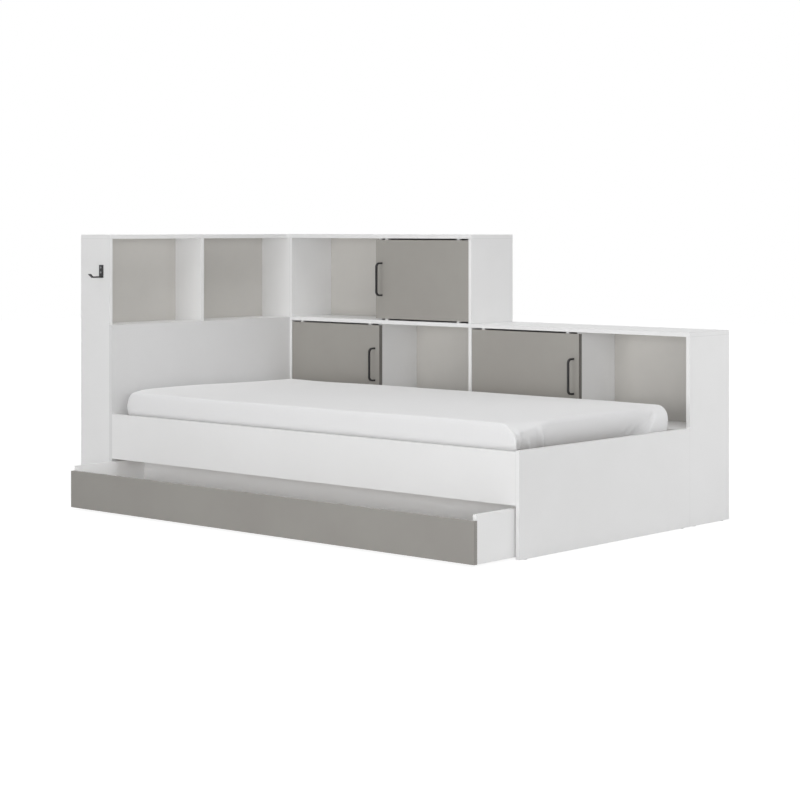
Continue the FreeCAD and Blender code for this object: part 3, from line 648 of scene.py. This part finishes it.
# %% Folds of the foot end
LEAN = (0.430, 0.012, 0.57)
LEAN_START = (-0.4965, 0.007)
SLANT_CREASE = (0.240, 0.368, 0.986)
SLANT_EASE = (0.016, 0.8)
SLANT_GROOVE = (0.012, 0.009, 0.005, 0.442, 0.03)
FOOT_FOLDS = (
    (-0.460, -0.40, 0.012, 0.0090, 0.434),
    (-0.438, -0.40, 0.008, -0.0090, 0.434),
    (-0.405, -0.70, 0.008, 0.0090, 0.402),
    (-0.335, -0.70, 0.010, 0.0140, 0.436),
    (-0.319, -0.70, 0.010, -0.0080, 0.430),
    (-0.245, -0.50, 0.022, 0.0030, 0.400),
    (0.120, 0.35, 0.012, 0.0034, 0.405),
    (0.147, 0.40, 0.012, -0.0034, 0.405),
    (0.174, 0.45, 0.012, 0.0045, 0.408),
    (0.202, 0.50, 0.011, -0.0050, 0.412),
    (0.230, 0.55, 0.012, 0.0065, 0.418),
)
FOLD_LEVEL = 0.36
FOLD_FADE = 0.035
FOLD_TURN = 0.6
CORNER_FLAT = (-0.4935, 0.013, 0.008)
CORNER_TURN = 0.1
NOTCH = (math.radians(36), 0.0032, 0.016)
NOTCH_TOP = (0.405, 0.035)
NOTCH_FLOOR = (0.312, 0.040)


def foot_end(start):
    """0 on the top, 1 on the foot end: a smooth step over half a right angle of tilt, after the start."""
    return smooth(2 * tilt / QUARTER - start)


def foot_push(y, z):
    """How far the cloth of the foot end stands out along the bed.

    The lean goes in by its slope times (d + sqrt(d^2 + r^2)) / 2 at a depth d below its level; r rounds
    its start. A groove runs beside the slanting crease. Each fold is a bell curve across a line that
    slants with the level, and it fades out towards its ceiling."""
    lean_level, lean_round, lean_slope = LEAN
    start_place, start_span = LEAN_START
    crease_place, crease_level, crease_slant = SLANT_CREASE
    ease_span, ease_share = SLANT_EASE
    groove_offset, groove_width, groove_depth, groove_top, groove_fade = SLANT_GROOVE
    below = (lean_level - z + np.hypot(lean_level - z, lean_round)) / 2
    crease = y - crease_place - crease_slant * (z - crease_level)
    leaning = smooth((y - start_place) / start_span) * (1 - ease_share * smooth(crease / ease_span))
    groove = groove_depth * hump(crease + groove_offset, groove_width)
    push = -lean_slope * below * leaning - groove * smooth((groove_top - z) / groove_fade)
    for place, slant, width, height, ceiling in FOOT_FOLDS:
        fold = height * hump(y - place - slant * (z - FOLD_LEVEL), width)
        push = push + fold * smooth((ceiling - z) / FOLD_FADE)
    return push * foot_end(FOLD_TURN) * np.cos(bend) ** 2


def corner_flat(y):
    """How far the front corner is pressed in along the strip's normal: a bell curve across the bed."""
    place, width, depth = CORNER_FLAT
    return depth * hump(y - place, width) * foot_end(CORNER_TURN) * np.cos(bend)


def corner_notch(z):
    """Depth of the notch in the front corner's edge: a bell curve across its bend, between two levels."""
    notch_bend, width, depth = NOTCH
    top_level, top_fade = NOTCH_TOP
    floor_level, floor_fade = NOTCH_FLOOR
    notch = depth * hump((bend - notch_bend) * FRONT_RADIUS, width) * (tilt > 0) * front_edge
    return notch * smooth((top_level - z) / top_fade) * smooth((z - floor_level) / floor_fade)


push = foot_push(y, z)
pressed = corner_flat(y)
notch = corner_notch(z)
folded = np.stack([x + push - pressed * np.sin(tilt) - notch, y + notch, z - pressed * np.cos(tilt)],
                  axis=-1)
folded = folded + facing * bead[..., None]
print("sheet top", folded[..., 2].max().round(4), "m; foot end leans in", -push.min().round(4), "m")

# %% [markdown]
# The grid becomes a mesh in one go: the faces are the grid's cells, and one flat face closes the
# underside, which lies on the slats. The cloth's own flat coordinates are kept as a UV map in metres,
# because a weave follows the cloth and not the room.

# %% Build the mattress mesh
def way_along(line):
    """Way along a line of points from its start: the running sum of the distances between neighbours."""
    return np.concatenate([[0], np.cumsum(np.linalg.norm(np.diff(line, axis=0), axis=-1))])


rows, columns = folded.shape[:2]
mattress_mesh = grid_mesh("mattress_in_sheet", folded)
flat_u = way_along(folded[:, columns // 2])
flat_v = way_along(folded[rows // 2])
flat = np.stack(np.meshgrid(flat_u, flat_v, indexing="ij"), axis=-1).reshape(-1, 2)
corner_vertices = np.empty(len(mattress_mesh.loops), np.int32)
mattress_mesh.loops.foreach_get("vertex_index", corner_vertices)
mattress_mesh.uv_layers.new(name="cloth").data.foreach_set("uv", flat[corner_vertices].ravel())
mattress = bpy.data.objects.new("mattress_in_sheet", mattress_mesh)
scene.collection.objects.link(mattress)
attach(mattress, "bed_frame")
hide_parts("mattress")
print("mattress", len(mattress_mesh.polygons), "faces; cloth", flat.max(axis=0).round(3), "m")

# %% [markdown]
# Cotton percale is a plain weave: warp threads one way, weft the other, each a fraction of a millimetre
# wide and never quite even. Two wave patterns on the cloth's own coordinates give the threads, slubs
# give them uneven thickness, and sheen stands for the loose fibres, which catch the light at flat angles.

# %% Cotton sheet
THREADS = 2600.0
THREAD_RELIEF = 0.25
SLUBS_ALONG = 14.0
SLUBS_ACROSS = 600.0
SLUB_RELIEF = 0.5
COTTON_TONES = ((0.905, 0.905, 0.91, 1), (0.855, 0.855, 0.86, 1))
WEAVE_DEPTH = 0.0001
WEAVE_STRENGTH = 0.6


def slub(tree, cloth_place, per_u, per_v):
    """Uneven thickness of the threads: noise with so many changes per metre along each cloth axis."""
    drawn = add(tree, "ShaderNodeMapping", {"Vector": cloth_place, "Scale": (per_u, per_v, 1.0)}).outputs[0]
    return noise(tree, drawn, 1.0, 2.0)


def threads_across(tree, coordinate):
    """Threads side by side across a cloth axis: a sine with half a wave for each thread."""
    return math_of(tree, "SINE", math_of(tree, "MULTIPLY", coordinate, THREADS * math.pi))


material, tree, shader = finish("cotton_sheet", Roughness=0.85, Sheen_Weight=0.55, Sheen_Roughness=0.5)
cloth_place = add(tree, "ShaderNodeUVMap", uv_map="cloth").outputs["UV"]
warp_slub = slub(tree, cloth_place, SLUBS_ALONG, SLUBS_ACROSS)
weft_slub = slub(tree, cloth_place, SLUBS_ACROSS, SLUBS_ALONG)
u, v, _ = add(tree, "ShaderNodeSeparateXYZ", {"Vector": cloth_place}).outputs
weave = math_of(tree, "ADD", threads_across(tree, u), threads_across(tree, v))
threads = math_of(tree, "MULTIPLY", weave, THREAD_RELIEF)
slubs = math_of(tree, "MULTIPLY", math_of(tree, "ADD", warp_slub, weft_slub), SLUB_RELIEF)
tree.links.new(blend_colour(tree, slubs, *COTTON_TONES), shader.inputs["Base Color"])
bump(tree, shader, math_of(tree, "ADD", threads, slubs), WEAVE_DEPTH, WEAVE_STRENGTH)
mattress_mesh.materials.append(material)
print("cotton with", THREADS, "threads per metre")

# %% [markdown]
# The floor is a pale studio sweep. A camera ray sees it nearly white, with only the object's soft
# shadow on it, while light that bounces off it still behaves as off a white floor. Away from the object
# it glows a little more, so that no edge shows where the floor ends. Each lamp is a soft panel, given by
# its place, the point that it faces, its width and height, and its power.

# %% Floor and studio light
FLOOR_REACH = 14.0
PURE_WHITE = (1, 1, 1, 1)
BOUNCE_WHITE = (0.80, 0.80, 0.80, 1)
SHADE_GREY = (0.30, 0.30, 0.30, 1)
GLOW_NEAR = (1.6, 0.90)
GLOW_FAR = (4.5, 1.0)
WORLD_STRENGTH = 0.144
LAMPS = {
    "camera_side_lamp": ((4.2, -4.6, 0.95), (0.2, 0.0, 0.55), (3.0, 1.7), 52.5),
    "front_lamp": ((0.0, -5.5, 0.95), (0.0, 0.0, 0.55), (3.0, 1.7), 78.0),
    "foot_lamp": ((6.0, -2.8, 1.6), (0.2, 0.0, 0.55), (2.5, 2.0), 53.5),
    "rear_foot_lamp": ((2.9, 1.6, 1.0), (0.5, 0.3, 0.5), (1.6, 1.2), 13.6),
    "top_lamp": ((0.5, -0.8, 5.0), (0.2, 0.1, 0.4), (4.0, 4.0), 117.0),
}


def seen_directly(tree):
    """1 for rays from the camera, from a gloss or through glass; 0 for rays that carry bounced light."""
    path = add(tree, "ShaderNodeLightPath").outputs
    straight = math_of(tree, "MAXIMUM", path["Is Camera Ray"], path["Is Glossy Ray"])
    return math_of(tree, "MAXIMUM", straight, path["Is Transmission Ray"])


corners = FLOOR_REACH * np.array([(-1, -1, 0), (1, -1, 0), (1, 1, 0), (-1, 1, 0)], float)
floor_mesh = bpy.data.meshes.new("floor")
floor_mesh.from_pydata(corners.tolist(), [], [(0, 1, 2, 3)])
floor = bpy.data.objects.new("floor", floor_mesh)
scene.collection.objects.link(floor)

sweep = bpy.data.materials.new("white_sweep")
sweep.use_nodes = True
tree = sweep.node_tree
tree.nodes.clear()
bounce = add(tree, "ShaderNodeBsdfDiffuse", {"Color": BOUNCE_WHITE}).outputs[0]
shade = add(tree, "ShaderNodeBsdfDiffuse", {"Color": SHADE_GREY}).outputs[0]
floor_place = add(tree, "ShaderNodeTexCoord").outputs["Object"]
away = add(tree, "ShaderNodeVectorMath", {0: floor_place}, operation="LENGTH")
whiter = ramp(tree, away.outputs["Value"], GLOW_NEAR[0], GLOW_FAR[0], GLOW_NEAR[1], GLOW_FAR[1])
glow = add(tree, "ShaderNodeEmission", {"Color": whiter, "Strength": 1.0}).outputs[0]
shown = add(tree, "ShaderNodeAddShader", {0: shade, 1: glow}).outputs[0]
mixed = add(tree, "ShaderNodeMixShader", {0: seen_directly(tree), 1: bounce, 2: shown}).outputs[0]
add(tree, "ShaderNodeOutputMaterial", {"Surface": mixed})
floor_mesh.materials.append(sweep)

world = bpy.data.worlds.new("white_studio")
scene.world = world
world.use_nodes = True
tree = world.node_tree
tree.nodes.clear()
ambient = add(tree, "ShaderNodeBackground", {"Color": PURE_WHITE, "Strength": WORLD_STRENGTH}).outputs[0]
white = add(tree, "ShaderNodeBackground", {"Color": PURE_WHITE, "Strength": 1.0}).outputs[0]
mixed = add(tree, "ShaderNodeMixShader", {0: seen_directly(tree), 1: ambient, 2: white}).outputs[0]
add(tree, "ShaderNodeOutputWorld", {"Surface": mixed})

for lamp_name, (place, target, panel, power) in LAMPS.items():
    lamp_data = bpy.data.lights.new(lamp_name, "AREA")
    lamp_data.shape = "RECTANGLE"
    lamp_data.size, lamp_data.size_y = panel
    lamp_data.energy = power
    lamp = bpy.data.objects.new(lamp_name, lamp_data)
    lamp.location = place
    aim = np.array(target) - np.array(place)
    pitch = math.acos(-aim[2] / np.linalg.norm(aim))
    heading = math.atan2(aim[0], -aim[1]) + math.pi
    lamp.rotation_euler = (pitch, 0, heading)
    scene.collection.objects.link(lamp)
print("floor", floor_mesh.name, "and", len(LAMPS), "lamps")
